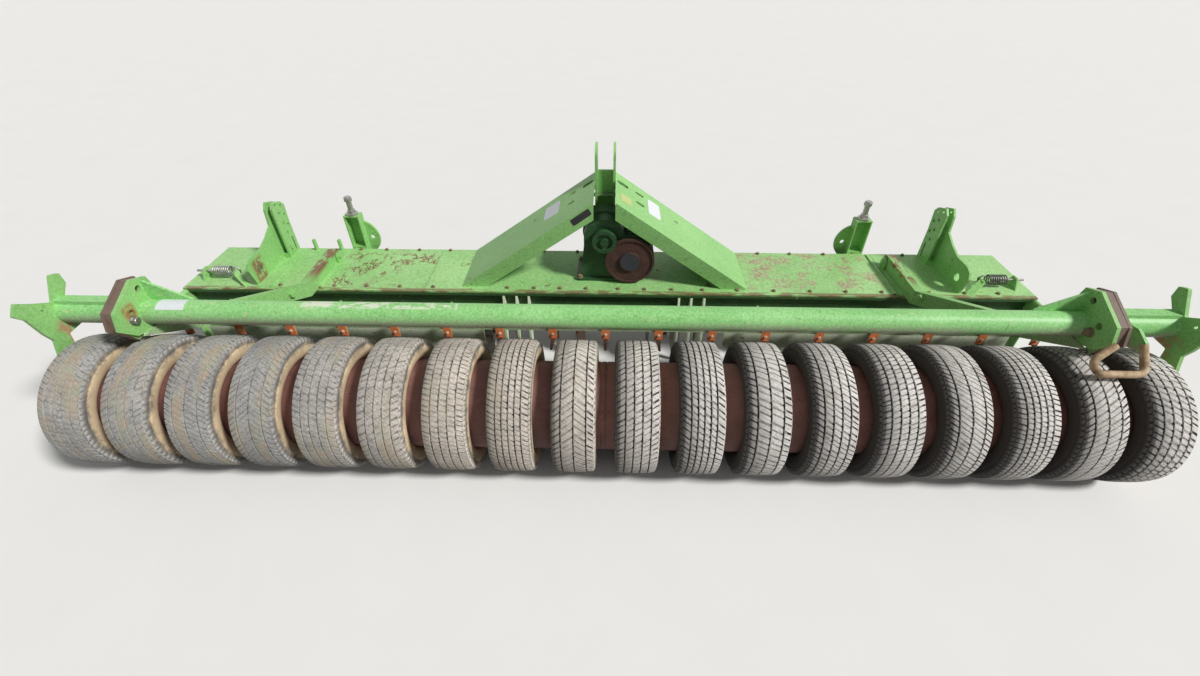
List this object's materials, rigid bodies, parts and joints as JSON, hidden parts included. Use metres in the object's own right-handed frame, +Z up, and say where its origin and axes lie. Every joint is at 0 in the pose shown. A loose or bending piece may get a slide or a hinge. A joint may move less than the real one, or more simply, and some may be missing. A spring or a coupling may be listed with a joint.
{
  "type": "power harrow with tyre packer roller",
  "caption": "Three-point mounted power harrow with upright rotors under a gear trough and a trailing packer roller made of old car tyres with orange scrapers.",
  "frame": {"origin": "on the ground, under the middle of the machine's box", "axes": "+X to the right seen from behind, along the trough and the roller; +Y the way it is towed; +Z up"},
  "size_m": [4.576, 1.3658, 1.078],
  "materials": {
    "worn_green_paint": "faded green paint, scratched to rust at edges",
    "dark_green_casting": "dark green paint over a rough casting, oily",
    "rust_red_cover": "rusted",
    "orange_paint": "chipped paint, dusty",
    "dusty_rubber": "worn and dusty",
    "bare_steel": "dull bare steel",
    "worn_tine_steel": "polished by soil at the tips, rusty above",
    "sandy_bar": "worn bare, dusty"
  },
  "bodies": {
    "harrow": {"gear_trough": "worn_green_paint", "trough_cover": "worn_green_paint", "arm_lugs": "worn_green_paint", "top_link_plates": "worn_green_paint", "lower_link_brackets": "worn_green_paint", "gearbox": "dark_green_casting", "gear_cover": "rust_red_cover", "front_pegs": "worn_green_paint", "rear_ribs": "worn_green_paint", "board_hangers": "worn_green_paint", "headstock_leg_left": "worn_green_paint", "quadrant_left": "worn_green_paint", "front_bracket_left": "worn_green_paint", "spindle_left": "bare_steel", "levelling_board_left": "worn_green_paint", "side_shield_left": "worn_green_paint", "shield_spring_left": "bare_steel", "spring_bracket_left": "worn_green_paint", "headstock_leg_right": "worn_green_paint", "quadrant_right": "worn_green_paint", "front_bracket_right": "worn_green_paint", "spindle_right": "bare_steel", "levelling_board_right": "worn_green_paint", "side_shield_right": "worn_green_paint", "shield_spring_right": "bare_steel", "spring_bracket_right": "worn_green_paint"},
    "packer_frame": {"carrier_tube": "worn_green_paint", "scraper_bar": "worn_green_paint", "scraper_struts": "worn_green_paint", "scrapers": "orange_paint", "hitch_loop": "sandy_bar", "tube_flange_left": "worn_green_paint", "stub_tube_left": "worn_green_paint", "end_plate_left": "worn_green_paint", "bearing_left": "dark_green_casting", "arm_left": "worn_green_paint", "tube_flange_right": "worn_green_paint", "stub_tube_right": "worn_green_paint", "end_plate_right": "worn_green_paint", "bearing_right": "dark_green_casting", "arm_right": "worn_green_paint"},
    "roller": {"tyre_roller": "dusty_rubber"},
    "input_shaft": {"drive_shaft": "bare_steel"},
    "rotor_01": {"rotor_01": "worn_tine_steel"},
    "rotor_02": {"rotor_02": "worn_tine_steel"},
    "rotor_03": {"rotor_03": "worn_tine_steel"},
    "rotor_04": {"rotor_04": "worn_tine_steel"},
    "rotor_05": {"rotor_05": "worn_tine_steel"},
    "rotor_06": {"rotor_06": "worn_tine_steel"},
    "rotor_07": {"rotor_07": "worn_tine_steel"},
    "rotor_08": {"rotor_08": "worn_tine_steel"},
    "rotor_09": {"rotor_09": "worn_tine_steel"},
    "rotor_10": {"rotor_10": "worn_tine_steel"},
    "rotor_11": {"rotor_11": "worn_tine_steel"},
    "rotor_12": {"rotor_12": "worn_tine_steel"},
    "rotor_13": {"rotor_13": "worn_tine_steel"},
    "rotor_14": {"rotor_14": "worn_tine_steel"},
    "rotor_15": {"rotor_15": "worn_tine_steel"},
    "rotor_16": {"rotor_16": "worn_tine_steel"}
  },
  "joints": [
    {"name": "packer_lift", "type": "hinge", "parent": "harrow", "child": "packer_frame", "pos_m": [0, 0.399, 0.5353], "axis": [-1, 0, 0], "range_deg": [0, 15]},
    {"name": "roller_turn", "type": "hinge", "parent": "packer_frame", "child": "roller", "pos_m": [0, -0.401, 0.282], "axis": [1, 0, 0], "continuous": true},
    {"name": "input_turn", "type": "hinge", "parent": "harrow", "child": "input_shaft", "pos_m": [-0.02, 0.599, 0.728], "axis": [0, 1, 0], "continuous": true},
    {"name": "rotor_01_turn", "type": "hinge", "parent": "harrow", "child": "rotor_01", "pos_m": [-1.895, 0.337, 0.264], "axis": [0, 0, 1], "continuous": true},
    {"name": "rotor_02_turn", "type": "hinge", "parent": "harrow", "child": "rotor_02", "pos_m": [-1.645, 0.337, 0.264], "axis": [0, 0, 1], "continuous": true},
    {"name": "rotor_03_turn", "type": "hinge", "parent": "harrow", "child": "rotor_03", "pos_m": [-1.395, 0.337, 0.264], "axis": [0, 0, 1], "continuous": true},
    {"name": "rotor_04_turn", "type": "hinge", "parent": "harrow", "child": "rotor_04", "pos_m": [-1.145, 0.337, 0.264], "axis": [0, 0, 1], "continuous": true},
    {"name": "rotor_05_turn", "type": "hinge", "parent": "harrow", "child": "rotor_05", "pos_m": [-0.895, 0.337, 0.264], "axis": [0, 0, 1], "continuous": true},
    {"name": "rotor_06_turn", "type": "hinge", "parent": "harrow", "child": "rotor_06", "pos_m": [-0.645, 0.337, 0.264], "axis": [0, 0, 1], "continuous": true},
    {"name": "rotor_07_turn", "type": "hinge", "parent": "harrow", "child": "rotor_07", "pos_m": [-0.395, 0.337, 0.264], "axis": [0, 0, 1], "continuous": true},
    {"name": "rotor_08_turn", "type": "hinge", "parent": "harrow", "child": "rotor_08", "pos_m": [-0.145, 0.337, 0.264], "axis": [0, 0, 1], "continuous": true},
    {"name": "rotor_09_turn", "type": "hinge", "parent": "harrow", "child": "rotor_09", "pos_m": [0.105, 0.337, 0.264], "axis": [0, 0, 1], "continuous": true},
    {"name": "rotor_10_turn", "type": "hinge", "parent": "harrow", "child": "rotor_10", "pos_m": [0.355, 0.337, 0.264], "axis": [0, 0, 1], "continuous": true},
    {"name": "rotor_11_turn", "type": "hinge", "parent": "harrow", "child": "rotor_11", "pos_m": [0.605, 0.337, 0.264], "axis": [0, 0, 1], "continuous": true},
    {"name": "rotor_12_turn", "type": "hinge", "parent": "harrow", "child": "rotor_12", "pos_m": [0.855, 0.337, 0.264], "axis": [0, 0, 1], "continuous": true},
    {"name": "rotor_13_turn", "type": "hinge", "parent": "harrow", "child": "rotor_13", "pos_m": [1.105, 0.337, 0.264], "axis": [0, 0, 1], "continuous": true},
    {"name": "rotor_14_turn", "type": "hinge", "parent": "harrow", "child": "rotor_14", "pos_m": [1.355, 0.337, 0.264], "axis": [0, 0, 1], "continuous": true},
    {"name": "rotor_15_turn", "type": "hinge", "parent": "harrow", "child": "rotor_15", "pos_m": [1.605, 0.337, 0.264], "axis": [0, 0, 1], "continuous": true},
    {"name": "rotor_16_turn", "type": "hinge", "parent": "harrow", "child": "rotor_16", "pos_m": [1.855, 0.337, 0.264], "axis": [0, 0, 1], "continuous": true}
  ],
  "couplings": [
    {"joint": "rotor_01_turn", "follows": "input_turn", "ratio": 0.35},
    {"joint": "rotor_02_turn", "follows": "input_turn", "ratio": -0.35},
    {"joint": "rotor_03_turn", "follows": "input_turn", "ratio": 0.35},
    {"joint": "rotor_04_turn", "follows": "input_turn", "ratio": -0.35},
    {"joint": "rotor_05_turn", "follows": "input_turn", "ratio": 0.35},
    {"joint": "rotor_06_turn", "follows": "input_turn", "ratio": -0.35},
    {"joint": "rotor_07_turn", "follows": "input_turn", "ratio": 0.35},
    {"joint": "rotor_08_turn", "follows": "input_turn", "ratio": -0.35},
    {"joint": "rotor_09_turn", "follows": "input_turn", "ratio": 0.35},
    {"joint": "rotor_10_turn", "follows": "input_turn", "ratio": -0.35},
    {"joint": "rotor_11_turn", "follows": "input_turn", "ratio": 0.35},
    {"joint": "rotor_12_turn", "follows": "input_turn", "ratio": -0.35},
    {"joint": "rotor_13_turn", "follows": "input_turn", "ratio": 0.35},
    {"joint": "rotor_14_turn", "follows": "input_turn", "ratio": -0.35},
    {"joint": "rotor_15_turn", "follows": "input_turn", "ratio": 0.35},
    {"joint": "rotor_16_turn", "follows": "input_turn", "ratio": -0.35}
  ]
}
